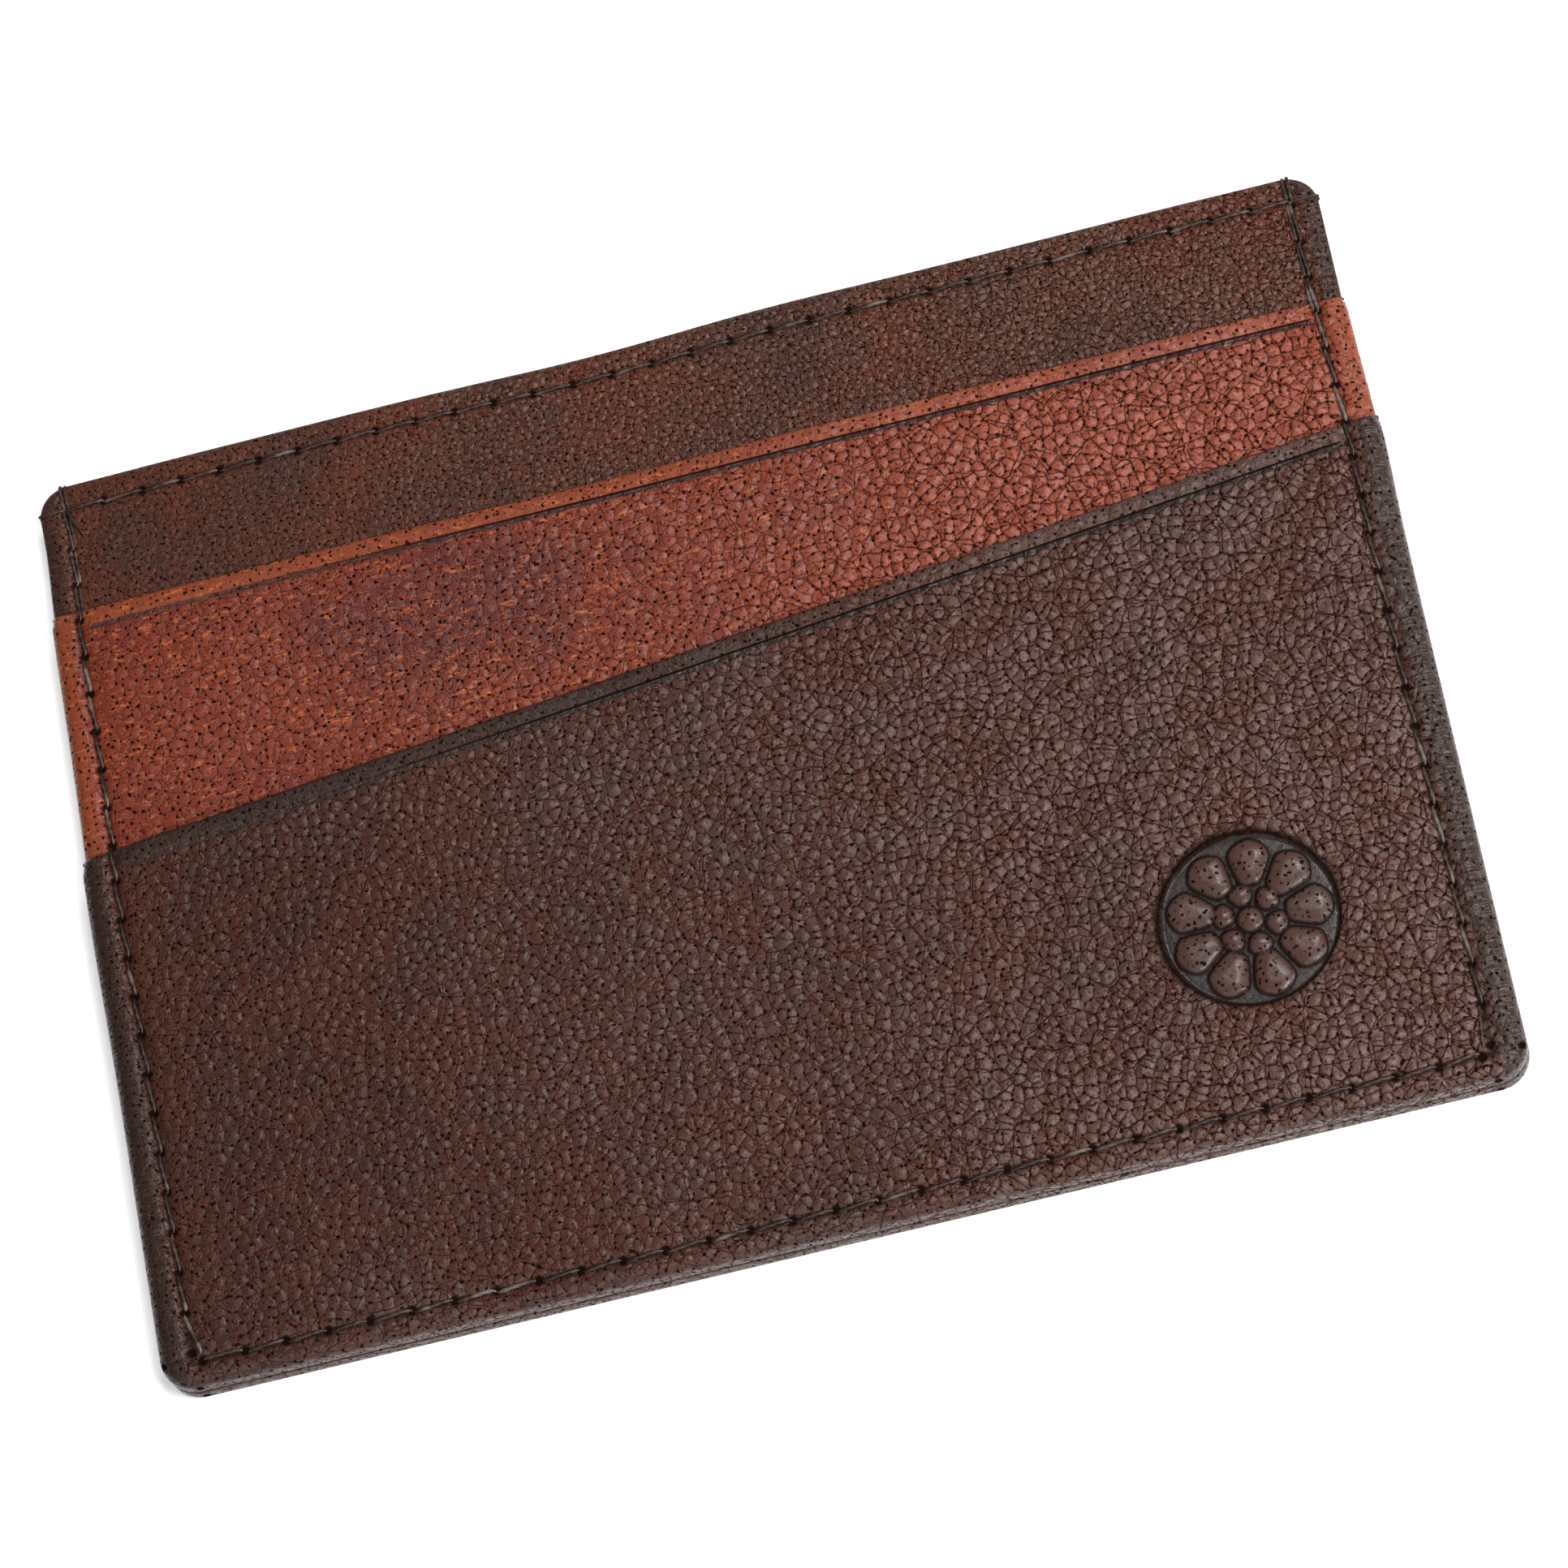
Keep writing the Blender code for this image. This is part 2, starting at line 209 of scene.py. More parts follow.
table_paint = Finish("white_table", Base_Color=(0.92, 0.92, 0.92, 1), Roughness=0.7)
tint = table_paint.noise(table_paint.node("ShaderNodeTexCoord", output=3), 3.0)
table_paint.paint(Emission_Color=(1, 1, 1, 1), Emission_Strength=0.2)
table_paint.paint(Roughness=table_paint.smooth(tint, 0, 1, 0.65, 0.75))
table.materials.append(table_paint.material)

# ---------------------------------------------------------------------------------------------
# Front and back panel: dark brown leather, thinned and turned over along both sides and the top
# edge, where the fold is the mouth of the centre pocket. The lower edge is cut and lies hidden.
# From here on, sizes are in millimetres.
# ---------------------------------------------------------------------------------------------
HALVES = ((1, "front"), (-1, "back"))
MIDDLE = (cad_low.z + cad_high.z) / 2 / MM
# The seam goes down both sides and along the bottom, and the hem row goes along the top.
SEAM_X, SEAM_Y, SEAM_CORNER = 47.5, cad_low.y / MM + 1.7, 0.8
HEM_Y = cad_high.y / MM - 2.0
SIDE_HOLE, SIDE_PITCH = 0.05, 3.08
HEM_PITCH = 2 * SEAM_X / 31
# The leather is thinned where it is turned over, and more where it is folded right back.
TURNED_THICKNESS, FOLDED_THICKNESS = 0.19, 0.15
CORNER_RADIUS = 2.5
# Depth of the fine mesh along a mouth, and of the one round the plain middle of an inner side.
MOUTH_BAND, PLAIN_MARGIN = 3.5, 4.0


def ramp(value, start, stop):
    """Smooth step from 0 at start to 1 at stop."""
    share = np.clip((value - start) / (stop - start), 0.0, 1.0)
    return share * share * (3 - 2 * share)


def bump(value, centre, width):
    """Bell of height 1."""
    return np.exp(-(((value - centre) / width) ** 2))


def past_seam(x, y):
    """Distance outwards from the stitch line down the sides and along the bottom."""
    across, below = np.abs(x) - SEAM_X + SEAM_CORNER, SEAM_Y + SEAM_CORNER - y
    corner = np.hypot(np.maximum(across, 0), np.maximum(below, 0))
    return corner + np.minimum(np.maximum(across, below), 0) - SEAM_CORNER


def settle(x, y, level, side):
    """Where a point of the flat, stacked layers comes to lie once they are sewn and pressed.

    The layers are drawn in along the seams and closed towards the top edge, and the outline
    is a little uneven. Takes millimetres, and gives world coordinates in metres.
    """
    seam = np.abs(past_seam(x, y))
    drawn_in = 0.085 * bump(seam, 0, 0.45) + 0.045 * bump(seam, 0, 1.6)
    drawn_in += 0.07 * bump(y, HEM_Y, 0.38) * ramp(y, 27, 29)
    closed = 1 - (0.30 + 0.22 * ramp(np.abs(x), 36, 47)) * ramp(y, 19, 36)
    z = level * (1 - drawn_in) * closed
    left, right = np.clip(-x / 50, 0, 1) ** 2, np.clip(x / 50, 0, 1) ** 2
    out_x = left * (-0.20 * bump(y, 1, 9) + 0.17 * bump(y, 31, 4)) + right * 0.20 * bump(y, 15, 6)
    out_y = ramp(y, 20, 36) * (0.12 * bump(x, 9, 7) - 0.28 * bump(x, -7, 9))
    above_table = np.maximum(MIDDLE + side * z, 0.0)
    return np.stack([x + out_x, y + out_y, above_table], axis=-1) * MM


def stations(start, *runs):
    """Places from a start through runs of (stop, step)."""
    places = [start]
    for stop, step in runs:
        count = max(1, round(abs(stop - places[-1]) / step))
        places += list(np.linspace(places[-1], stop, count + 1)[1:])
    return np.array(places)


def travelled(*axes):
    """Distance along a line of points from the first one to each."""
    steps = np.sqrt(sum(np.diff(axis) ** 2 for axis in axes))
    return np.concatenate([[0], np.cumsum(steps)])


class Turn:
    """Section of a turned edge: a round roll, a straight wall, a tight fold and a flap inside.

    Distances are along the leather from where the roll starts. across is how far that point
    is past the start of the roll, and drop how far it is below the face.
    """

    FLAP = 6.0
    POINTS = 25

    def __init__(self, roll, depth, height, fold):
        quarter = np.linspace(0, math.pi / 2, self.POINTS)
        self.across = np.concatenate([roll * np.sin(quarter), roll - fold + fold * np.cos(quarter),
                                      [roll - self.FLAP]])
        self.drop = np.concatenate([depth - depth * np.cos(quarter), height - fold + fold * np.sin(quarter),
                                    [height]])
        self.along = travelled(self.across, self.drop)
        self.roll_end, self.fold_start = self.along[self.POINTS - 1], self.along[self.POINTS]
        self.fold_end = self.along[2 * self.POINTS - 1]
        self.roll, self.height, self.flap_start = roll, height, roll - fold

    def stations(self):
        """Distances along the section that show its shape."""
        return stations(0, (self.roll_end, self.roll_end / 7), (self.fold_start, 0.5),
                        (self.fold_end, (self.fold_end - self.fold_start) / 3), (self.along[-1], 2.5))

    def at(self, distance, flap_share):
        across = np.interp(distance, self.along, self.across)
        flap = np.clip(distance - self.fold_end, 0, None)
        across = np.where(flap > 0, self.flap_start - flap * (0.3 + 0.7 * flap_share), across)
        return np.where(distance > 0, across, distance), np.interp(distance, self.along, self.drop)


def shell_faces(keep, hollow=None):
    """Faces of a closed shell on a grid of outer points followed by a grid of inner points.

    keep says which cells are there. hollow = (i0, i1, j0, j1) closes that part of the inner
    side with one plain face.
    """
    shape = (keep.shape[0] + 1, keep.shape[1] + 1)
    count = shape[0] * shape[1]
    outer_id = np.arange(count).reshape(shape)
    inner_id = outer_id + count
    i, j = np.nonzero(keep)
    outer = [outer_id[i, j], outer_id[i + 1, j], outer_id[i + 1, j + 1], outer_id[i, j + 1]]
    faces = np.stack(outer, axis=1).tolist()
    inner_keep = keep.copy()
    if hollow:
        i0, i1, j0, j1 = hollow
        inner_keep[i0:i1, j0:j1] = False
        ring = [inner_id[k, j0] for k in range(i0, i1)] + [inner_id[i1, k] for k in range(j0, j1)]
        ring += [inner_id[k, j1] for k in range(i1, i0, -1)] + [inner_id[i0, k] for k in range(j1, j0, -1)]
        faces.append([int(k) for k in reversed(ring)])
    i, j = np.nonzero(inner_keep)
    inner = [inner_id[i, j + 1], inner_id[i + 1, j + 1], inner_id[i + 1, j], inner_id[i, j]]
    faces += np.stack(inner, axis=1).tolist()
    padded = np.pad(keep, 1)
    rows, columns = keep.shape
    corners = ((0, 0), (1, 0), (1, 1), (0, 1))
    for (di, dj), near, far in zip(((0, -1), (1, 0), (0, 1), (-1, 0)), corners, corners[1:] + corners[:1]):
        i, j = np.nonzero(keep & ~padded[1 + di:1 + di + rows, 1 + dj:1 + dj + columns])
        a, b = outer_id[i + near[0], j + near[1]], outer_id[i + far[0], j + far[1]]
        faces += np.stack([b, a, a + count, b + count], axis=1).tolist()
    return faces


def cut_corners(x, y, edge, radius=2.26):
    """Draws x in so that a cut edge at y = edge has round corners."""
    depth = np.clip(radius - np.abs(y - edge), 0, radius)
    pull = radius - np.sqrt(radius ** 2 - depth ** 2)
    return x - np.sign(x) * pull * ramp(np.abs(x), 36, 48)


def face_level(node):
    """How far a CAD node's outer face lies from the middle of the card holder."""
    low, high = (corner.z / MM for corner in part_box(node))
    return max(abs(low - MIDDLE), abs(high - MIDDLE))


def visual_piece(name, mesh, node):
    """An object that rides on the one body and stands for a CAD node."""
    piece = bpy.data.objects.new(name, mesh)
    bpy.context.scene.collection.objects.link(piece)
    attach(piece, "root")
    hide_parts(node)
    return piece


def hide_mesh(name, points, hide, marks, faces, inside_out):
    """Mesh of a leather shell, less its unused points, with its hide coordinates, tool marks and painted
    outline shade.
    """
    used = np.zeros(len(points), bool)
    for polygon in faces:
        used[polygon] = True
    fresh = np.cumsum(used) - 1
    faces = [[int(fresh[k]) for k in (reversed(polygon) if inside_out else polygon)] for polygon in faces]
    mesh = bpy.data.meshes.new(name)
    mesh.from_pydata(points[used].tolist(), [], faces)
    for attribute, values in (("hide", hide), ("marks", marks)):
        layer = mesh.attributes.new(attribute, "FLOAT_VECTOR", "POINT")
        layer.data.foreach_set("vector", values[used].ravel())
    mesh.shade_smooth()
    mesh.set_sharp_from_angle(angle=math.radians(55))
    return mesh


def leather_piece(name, side, node, columns, rows, turn, thickness, mouth, relief, slope=0.0, fold=None,
                  turned_end=False, flip=1, backed=False, cut_edge=None, swatch=0.0):
    """Closed leather shell, grain side out, for a CAD node of one half of the card holder.

    columns and rows are the places of the mesh lines across the face, from the middle of the
    side rolls and from the lower edge to the mouth. A row is (kind, value), so that the upper
    ones can follow a slanted mouth. With turned_end the lower edge is turned too. flip -1 swaps
    top and bottom. backed keeps the inner side's fine mesh, which shows when a pocket is looked
    into. The mesh keeps its hide coordinates, measured along the leather, for the grain.
    """
    low, high = (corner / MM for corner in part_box(node))
    half_width = high.x
    bottom = low.y if flip > 0 else -high.y
    start = half_width - turn.roll
    reach_out = turn.stations()
    u_line = np.concatenate([-start - reach_out[:0:-1], columns, start + reach_out[1:]])
    turned = [("level", rows[0][1] - s) for s in reach_out[:0:-1]] if turned_end else []
    over = [("past_mouth", s) for s in fold.stations()[1:]] if fold else []
    lines = turned + rows + over
    mouth_base = mouth + slope * u_line - (fold.reach if fold else 0.0)
    split = max(value for kind, value in lines if kind == "level")
    row_place = {"level": lambda value: np.full_like(u_line, value),
                 "share": lambda share: split + share * (mouth_base - MOUTH_BAND - split),
                 "below_mouth": lambda drop: mouth_base - drop,
                 "past_mouth": lambda distance: mouth_base + distance}
    v = np.stack([row_place[kind](value) for kind, value in lines], axis=1)
    u = np.repeat(u_line[:, None], len(lines), axis=1)

    radius = CORNER_RADIUS if turned_end else turn.roll
    inner = half_width - radius
    past_side = np.abs(u) - inner
    past_end = (bottom + radius - v) if turned_end else np.full_like(u, -1.0)
    beyond = np.maximum(past_side, past_end)
    safe_side, safe_end = np.maximum(past_side, 1e-9), np.maximum(past_end, 1e-9)
    angle = np.where(past_side >= past_end, math.pi / 4 * safe_end / safe_side,
                     math.pi / 2 - math.pi / 4 * safe_side / safe_end)
    in_corner = (past_side > 0) & (past_end > 0)
    angle = np.where(in_corner, angle, np.where(past_side > past_end, 0.0, math.pi / 2))
    from_corner = np.where(past_side > past_end, -past_end, -past_side)
    flap_share = ramp(from_corner, 0, 7) if turned_end else np.ones_like(u)
    along = beyond - (radius - turn.roll)
    across, drop = turn.at(along, flap_share)
    spread = radius - turn.roll + across
    x = np.where(past_side > 0, np.sign(u) * (inner + spread * np.cos(angle)), u)
    y = np.where(past_end > 0, bottom + radius - spread * np.sin(angle), v)
    level = face_level(node) - np.where(beyond > 0, drop, 0.0)

    on_face = 1 - ramp(along, 0, turn.roll_end)
    thick = thickness * on_face + TURNED_THICKNESS * (1 - on_face)
    thick = np.where(along > turn.fold_start, FOLDED_THICKNESS, thick)
    keep = np.ones((len(u_line) - 1, len(lines) - 1), bool)
    if fold:
        past = v - mouth_base[:, None]
        fold_across, fold_drop = fold.at(past)
        y = np.where(past > 0, mouth_base[:, None] + fold_across, y)
        flattened = ramp(along, 0.5 * turn.roll, turn.roll_end)
        level = level - np.where(past > 0, fold_drop, 0.0) * (1 - flattened)
        thick = thick + (FOLDED_THICKNESS - thick) * ramp(past, -1.3, -0.3)
        x = x - np.sign(u) * 0.22 * ramp(past, -0.9, 0.3) * ramp(along, 0, turn.roll_end)
        past_crest = len(lines) - len(over) + fold.CREST_STEPS - 1
        keep[np.abs(u_line[:-1] + u_line[1:]) / 2 > start - 0.1, past_crest:] = False

    if cut_edge is not None:
        x = cut_corners(x, y, cut_edge)
    outside = np.stack([x, y, level], axis=-1)
    normal = np.cross(np.gradient(outside, axis=0), np.gradient(outside, axis=1))
    normal /= np.linalg.norm(normal, axis=-1, keepdims=True) + 1e-12
    inside = outside - normal * thick[..., None]
    lift, marks = relief(x, y)
    outside[..., 2] += lift * on_face
    hollow = None
    if not backed:
        wide = np.flatnonzero(np.abs(u_line) < start - PLAIN_MARGIN)
        tall = [k for k, (kind, _) in enumerate(lines)
                if kind in ("level", "share") and v[0, k] > bottom + PLAIN_MARGIN]
        hollow = (wide[0], wide[-1], tall[0], tall[-1])
    points = np.concatenate([outside.reshape(-1, 3), inside.reshape(-1, 3)])
    hide = np.stack([u, flip * v, np.full_like(u, swatch)], axis=-1)
    mesh = hide_mesh(name, settle(points[:, 0], flip * points[:, 1], points[:, 2], side),
                     np.tile(hide.reshape(-1, 3), (2, 1)), np.tile(marks.reshape(-1, 3), (2, 1)),
                     shell_faces(keep, hollow), inside_out=side * flip < 0)
    return visual_piece(name, mesh, node)


def ripple(x, y, seed, wavelength, depth):
    """Gentle unevenness of hand-worked leather: a few crossing waves."""
    draw = np.random.default_rng(seed)
    total = np.zeros_like(x)
    waves = 7
    for _ in range(waves):
        heading, phase, size = draw.uniform(0, math.pi), draw.uniform(0, 2 * math.pi), draw.uniform(0.7, 1.5)
        ahead = x * math.cos(heading) + y * math.sin(heading)
        total += np.sin(ahead * 2 * math.pi / (wavelength * size) + phase)
    return depth * total / waves


def stitched(finish, u, v, seam_y, pitch, phase):
    """Distances in millimetres to the nearest needle hole and to the nearest line of stitches."""
    across = finish.math("ABSOLUTE", u) - SEAM_X
    down = finish.math("PINGPONG", v - SIDE_HOLE, SIDE_PITCH / 2)
    off = v - seam_y
    sideways = finish.math("PINGPONG", u - phase, pitch / 2)
    hole = finish.math("MINIMUM", across * across + down * down, off * off + sideways * sideways)
    past_side = finish.math("MAXIMUM", across, 0.0)
    below_row = finish.math("MINIMUM", off, 0.0) if seam_y < 0 else across * 0.0
    thread_line = finish.math("MINIMUM", across * across + below_row * below_row,
                              off * off + past_side * past_side)
    return finish.math("SQRT", hole), finish.math("SQRT", thread_line)


def leather(name, ridge, valley, warm, painted_sheen, glow, cell, domed, pore_rate, seam_y, pitch, phase,
            crease=None, slope=0.0, warm_lip=0.3, smooth_left=0.6, crack_width=0.055, mottle=0.4,
            crinkled=(0.42, 0.62), smoke=(0.034, 0.019, 0.016, 1), lip_tone=(0.014, 0.008, 0.006, 1),
            lip_share=0.75, stain=None):
    """Full-grain leather: domed cells with cracks between them, pores, worn warm patches, needle pits.

    ridge colours the cell tops at the left, and painted_sheen, a lighter and greyer tone, paints
    the sheen on those at the right; valley colours the gaps between them, warm and glow the worn
    places, smoke the dark patches, and lip_tone the turned edges.
    cell and pore_rate are per millimetre. The cross seam lies at seam_y, and crease is the
    height of the line creased below a pocket's mouth, which has the given slope.
    """
    finish = Finish(name, IOR=1.48, Specular_IOR_Level=0.28)
    hide = finish.node("ShaderNodeAttribute", {"attribute_name": "hide"}, output=1)
    u, v, swatch = finish.parts(hide)
    marks = finish.node("ShaderNodeAttribute", {"attribute_name": "marks"}, output=1)
    polished, outline_shade, swollen = finish.parts(marks)
    offset = finish.node("ShaderNodeVectorMath", {"operation": "SCALE"},
                         {0: (37.0, 11.0, 5.0), "Scale": swatch})
    place = finish.node("ShaderNodeVectorMath", {"operation": "ADD"}, {0: hide, 1: offset})
    sway = finish.node("ShaderNodeTexNoise", {"noise_dimensions": "2D"},
                       {"Vector": place, "Scale": 0.8, "Detail": 4.0, "Roughness": 0.62}, output=1)
    bend = finish.node("ShaderNodeVectorMath", {"operation": "MULTIPLY_ADD"},
                       {0: sway, 1: (0.6, 0.6, 0), 2: place})

    def cells(scale, feature, randomness=1.0):
        return finish.node("ShaderNodeTexVoronoi", {"voronoi_dimensions": "2D", "feature": feature},
                           {"Vector": bend, "Scale": scale, "Randomness": randomness})

    # Large and small unevenness, the turned edges and folded mouths, and the drift to the right.
    clouds = finish.noise(place, 0.05, 3.0, 0.6)
    patches = finish.noise(place, 0.22, 4.0, 0.6, shift=(9, 4, 0))
    fine = finish.noise(place, 2.6, 4.0, 0.6)
    speckle = finish.noise(place, 7.0, 3.0, 0.6)
    past = finish.math("ABSOLUTE", u)
    edge = finish.smooth(past, SEAM_X + 0.2, SEAM_X + 1.2)
    rightward = finish.smooth(clouds * 0.5 + u * 0.004, 0.06, 0.42)
    lip_band = 0.0
    if crease is not None:
        below = v - slope * u - crease
        between_seams = finish.smooth(past, SEAM_X - 0.5, SEAM_X + 0.2, 1.0, 0.0)
        lip_band = finish.smooth(below, 0.05, 0.30) * between_seams
    plain = finish.smooth(finish.largest(polished, swollen), 0.0, 0.5, 1.0, 0.0)

    # Grain: cells, the cracks and furrows between them, pores that lie mostly on those lines.
    edge_gap = cells(cell, "DISTANCE_TO_EDGE")
    small_gap = cells(cell * 2.1, "DISTANCE_TO_EDGE")
    large_gap = cells(cell * 0.42, "DISTANCE_TO_EDGE")
    pore_gap = cells(pore_rate, "F1", 0.85)
    pebbled = finish.smooth(rightward, 0, 1, smooth_left, 1.0) * (1.0 - finish.largest(edge, lip_band) * 0.7)
    dome = finish.smooth(cells(cell, "F1"), 0.05, 0.70, 1.0, 0.0)
    valley_share = finish.smooth(edge_gap, 0.02, 0.24, 1.0, 0.0)
    broken = finish.smooth(fine, 0.34, 0.50)
    crack = finish.smooth(edge_gap, 0.01, crack_width, 1.0, 0.0) * broken * pebbled
    creases = finish.smooth(small_gap, 0.015, 0.100, 1.0, 0.0) * finish.smooth(patches, *crinkled)
    creases = creases * finish.smooth(fine, 0.44, 0.6) * (1.0 - edge * 0.8)
    furrow = finish.smooth(large_gap, 0.01, 0.13, 1.0, 0.0) * finish.smooth(patches, 0.34, 0.54)
    furrow_line = finish.smooth(large_gap, 0.006, 0.04, 1.0, 0.0) * broken * pebbled
    on_line = finish.smooth(edge_gap, 0.07, 0.18, 1.0, 0.0)
    pore = finish.smooth(pore_gap - on_line * 0.06, 0.10, 0.19, 1.0, 0.0)
    pore = pore * finish.smooth(on_line, 0, 1, 0.6, 1.0)
    pore_lip = finish.smooth(pore_gap, 0.16, 0.45, 1.0, 0.0) - pore
    streaks = finish.noise(place, 1.7, 3.0, 0.6, stretch=(0.6, 1.7, 1), shift=(5, 8, 0))
    dashes = finish.smooth(streaks, 0.55, 0.70) * finish.smooth(rightward, 0.2, 1.0, 1.0, 0.5)
    pleats = finish.noise(place, 1.0, 3.0, 0.6, stretch=(0.25, 2.1, 1))
    pleats = pleats * finish.smooth(past, SEAM_X - 0.4, SEAM_X + 0.9)
    hole, thread_line = stitched(finish, u, v, seam_y, pitch, phase)
    needle = finish.largest(finish.smooth(hole, 0.26, 0.54, 1.0, 0.0),
                            finish.smooth(thread_line, 0.10, 0.34, 0.6, 0.0))

    # Colour, from the dye to what wear, folding and pressing do to it, with a painted sheen towards the right
    # and painted shade in the pits.
    # Painted sheen: the cell tops go from the ridge tone to the lighter, greyer painted_sheen tone towards
    # the right.
    colour = finish.mix(rightward, ridge, painted_sheen)
    drift = finish.noise(place, 0.085, 4.0, 0.65, shift=(3, 17, 0))
    colour = finish.mix(finish.smooth(drift, 0.50, 0.64) * mottle, colour, smoke)
    colour = finish.mix(finish.smooth(drift, 0.50, 0.38) * mottle, colour, warm)
    colour = finish.mix(finish.smooth(patches, 0.46, 0.72) * 0.5, colour, warm)
    if stain is not None:
        stain_x, stain_y, stain_reach = stain
        aside, above = (u - stain_x) / stain_reach, (v - stain_y) / (stain_reach * 0.45)
        spot = finish.math("SQRT", aside * aside + above * above) + (patches - 0.5) * 1.6
        colour = finish.mix(finish.smooth(spot, 0.35, 1.25, 0.9, 0.0), colour, smoke)
    colour = finish.mix(valley_share * pebbled * plain * 0.6, colour, valley)
    colour = finish.mix(furrow * plain * 0.5, colour, warm)
    colour = finish.mix(pore_lip * 0.6 * warm_lip * plain, colour, warm)
    colour = finish.mix(finish.smooth(speckle, 0.35, 0.65) * 0.35, colour, valley)
    folded = lip_band * finish.smooth(rightward, 0, 1, lip_share, lip_share * 0.3)
    colour = finish.mix(finish.largest(edge * lip_share, folded), colour, lip_tone)
    colour = finish.mix(dashes * warm_lip * plain * 0.7, colour, glow)
    colour = finish.mix(swollen * 0.45, colour, smoke)
    line = 0.0
    if crease is not None:
        inside_seams = finish.smooth(past, SEAM_X - 0.9, SEAM_X - 0.2, 1.0, 0.0)
        pressed = finish.smooth(finish.math("ABSOLUTE", below + 0.10), 0.08, 0.26, 1.0, 0.0) * inside_seams
        pressed = pressed * finish.smooth(u, -44.0, 10.0, 0.6, 0.9)
        line = finish.smooth(finish.math("ABSOLUTE", below - 0.13), 0.02, 0.11, 1.0, 0.0) * inside_seams
        line = line * finish.smooth(u, -44.0, -10.0, 0.25, 1.0)
        colour = finish.mix(pressed * 0.8, colour, (0.040, 0.034, 0.031, 1))
        polished = finish.largest(polished, pressed * 0.8)
    colour = finish.mix(polished * 0.9, colour, (0.016, 0.015, 0.014, 1))
    # Painted shade: pores, cracks, creases, needle holes, the creased line and the stamp's outlines get a
    # matt near-black, as where light doesn't reach.
    lines = finish.largest(crack * 0.7, creases * 0.6, furrow_line * 0.85)
    dark = finish.largest(lines * plain, pore * 0.95) * (1.0 - polished * 0.8)
    black = finish.largest(needle, line, outline_shade)
    finish.paint(Base_Color=colour)
    finish.shade(finish.largest(dark, black * 0.97), (0.004, 0.002, 0.0015, 1))

    # Sheen and relief.
    rough = finish.smooth(fine * 0.5 + speckle * 0.5, 0.35, 0.65, 0.27, 0.42)
    rough = rough - polished * 0.10 - swollen * 0.07 - edge * 0.04
    height = dome * pebbled * finish.smooth(rightward, 0, 1, domed * 0.7, domed * 1.3)
    height = (height - crack * 0.05 - creases * 0.04 - furrow_line * 0.05) * plain
    height = height + (fine * 0.030 + speckle * 0.010) * (0.5 + plain * 0.5) - pore * 0.06
    height = height + pleats * 0.20 - needle * 0.05 - line * 0.08
    finish.paint(Roughness=rough, Normal=finish.node(
        "ShaderNodeBump", {}, {"Strength": 1.0, "Distance": MM, "Height": height}))
    return finish.material


def unmarked(x):
    """No tool marks and no painted outline shade: (polished, outline shade, 0) for every point."""
    return np.zeros((*x.shape, 3))


def needle_pits(x, y, cross_y, pitch, phase):
    """Shallow dents where the thread goes through, along the side seams and one cross seam."""
    depth, width = 0.15, 0.34

    def near(value, start, gap):
        return np.abs((value - start + gap / 2) % gap - gap / 2)

    side = bump(np.hypot(np.abs(x) - SEAM_X, near(y, SIDE_HOLE, SIDE_PITCH)), 0, width)
    cross = bump(np.hypot(y - cross_y, near(x, phase, pitch)), 0, width)
    return -depth * np.maximum(side, cross)


def columns_for(turn, half_width, middle=0.5, detail=()):
    """Mesh lines across a face: close together by the side seams and where there is detail."""
    start, by_seam, near_seam = half_width - turn.roll, SEAM_X - 1.1, SEAM_X - 3.0
    runs = [(-by_seam, 0.2), (-near_seam, 0.35)]
    for low, high, step in detail:
        runs += [(low, middle), (high, step)]
    runs += [(near_seam, middle), (by_seam, 0.35), (start, 0.2)]
    return stations(-start, *runs)


panel_leather = leather(
    "dark_brown_panel_leather", ridge=(0.050, 0.016, 0.009, 1), valley=(0.040, 0.011, 0.006, 1),
    warm=(0.105, 0.024, 0.011, 1), painted_sheen=(0.092, 0.044, 0.029, 1), glow=(0.190, 0.064, 0.030, 1),
    cell=1.7, domed=0.07, pore_rate=1.9, seam_y=HEM_Y, pitch=HEM_PITCH, phase=SEAM_X,
    mottle=0.6, crinkled=(0.30, 0.50))
PANEL_TURN = Turn(roll=0.9, depth=0.42, height=0.60, fold=0.14)
PANEL_FOOT = 36.0


def panel_relief(x, y):
    lift = needle_pits(x, y, -HEM_Y, HEM_PITCH, SEAM_X)
    return lift + ripple(x, y, seed=11, wavelength=14, depth=0.05), unmarked(x)


for side, half in HALVES:
    panel_half_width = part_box(half + "_panel")[1].x / MM
    top_rows = stations(-cad_high.y / MM + PANEL_TURN.roll,
                        (-33.4, 0.2), (-30, 0.35), (-8, 0.5), (PANEL_FOOT, 2.0))
    piece = leather_piece(half + "_panel_leather", side, half + "_panel",
                          columns_for(PANEL_TURN, panel_half_width), [("level", row) for row in top_rows],
                          PANEL_TURN, 0.32, mouth=PANEL_FOOT, relief=panel_relief, turned_end=True, flip=-1,
                          backed=True, cut_edge=PANEL_FOOT, swatch=1.0 if side > 0 else 2.0)
    piece.data.materials.append(panel_leather)

